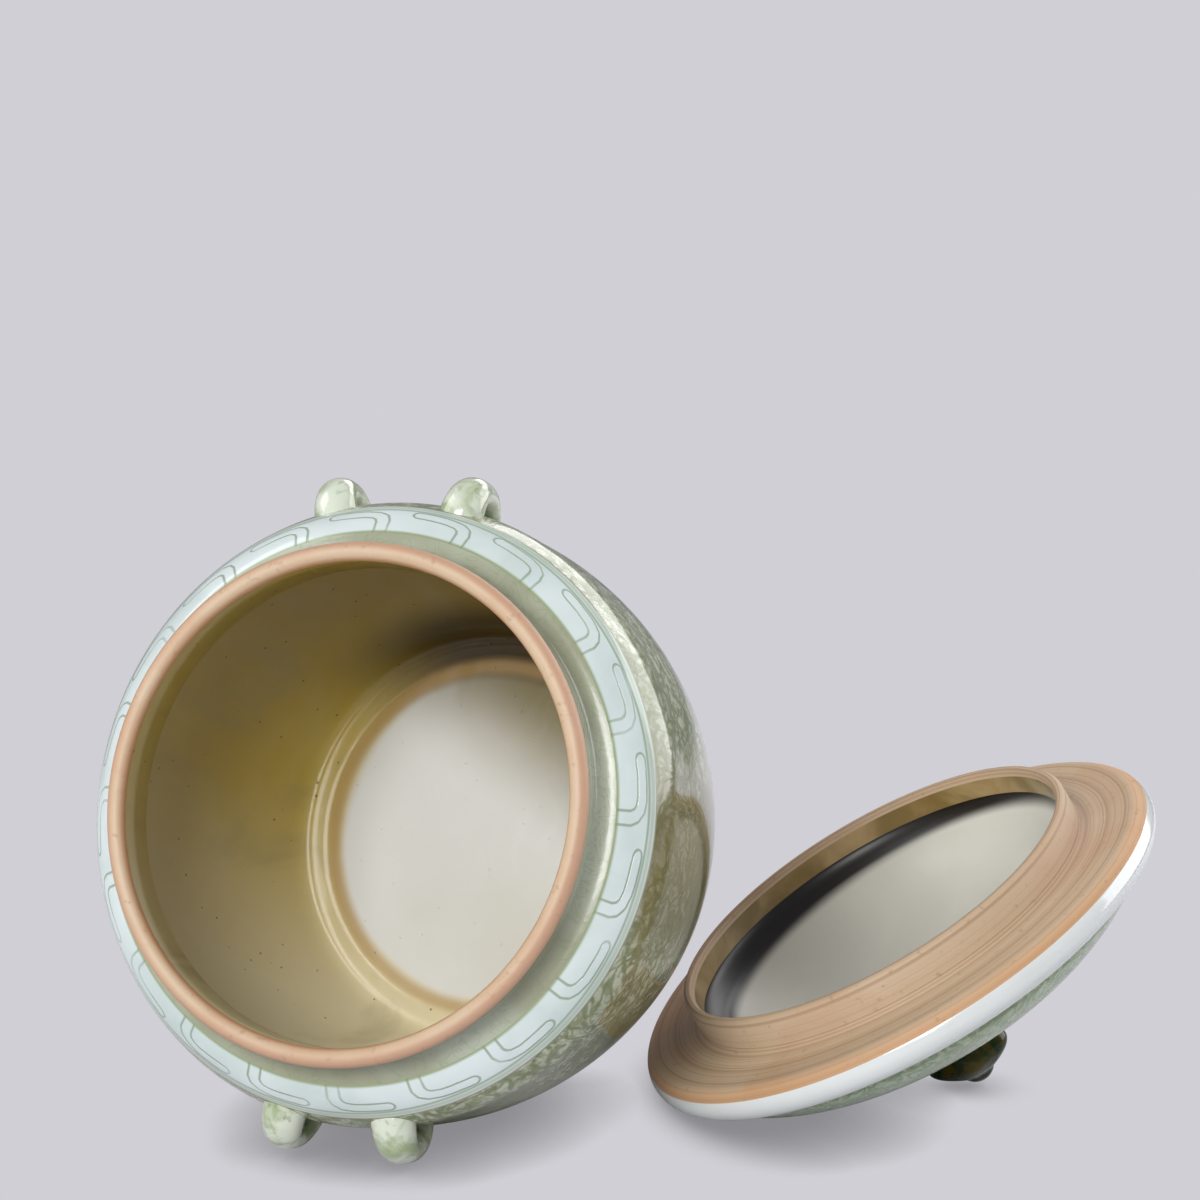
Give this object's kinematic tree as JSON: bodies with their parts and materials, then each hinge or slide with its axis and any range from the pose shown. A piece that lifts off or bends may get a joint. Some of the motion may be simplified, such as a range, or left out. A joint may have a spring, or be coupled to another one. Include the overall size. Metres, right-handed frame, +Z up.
{
  "type": "covered lug jar",
  "caption": "Wide glazed stoneware jar with paired cord lugs on its shoulder, lying on its side with its knobbed lid upside down beside it.",
  "frame": {"origin": "middle of the underside of the box round the lying jar and its lid, on the floor", "axes": "+Z up; +X from the jar towards its lid; the jar's mouth faces -Y, tipped up"},
  "size_m": [0.4008, 0.311, 0.2604],
  "materials": {
    "jar_glaze": "glossy celadon glaze with darker green scroll painting",
    "rim_clay": "glossy pale glaze on the neck, bare pinkish clay on the lip",
    "bare_clay": "unglazed, dry, with turning lines",
    "lug_glaze": "glossy mottled celadon glaze",
    "lid_glaze": "glossy pale glaze with green scroll painting",
    "knob_glaze": "thick dark green glaze"
  },
  "bodies": {
    "jar": {"jar_body": "jar_glaze", "neck_collar": "rim_clay", "foot_ring": "bare_clay", "lug_upper_left": "lug_glaze", "lug_upper_right": "lug_glaze", "lug_lower_left": "lug_glaze", "lug_lower_right": "lug_glaze"},
    "lid": {"lid_dome": "lid_glaze", "lid_flange": "bare_clay", "lid_knob": "knob_glaze"}
  },
  "joints": [
    {"name": "lid_lift", "type": "slide", "parent": "jar", "child": "lid", "axis": [0.7071, 0, 0.7071], "range_m": [0, 0.15]}
  ]
}
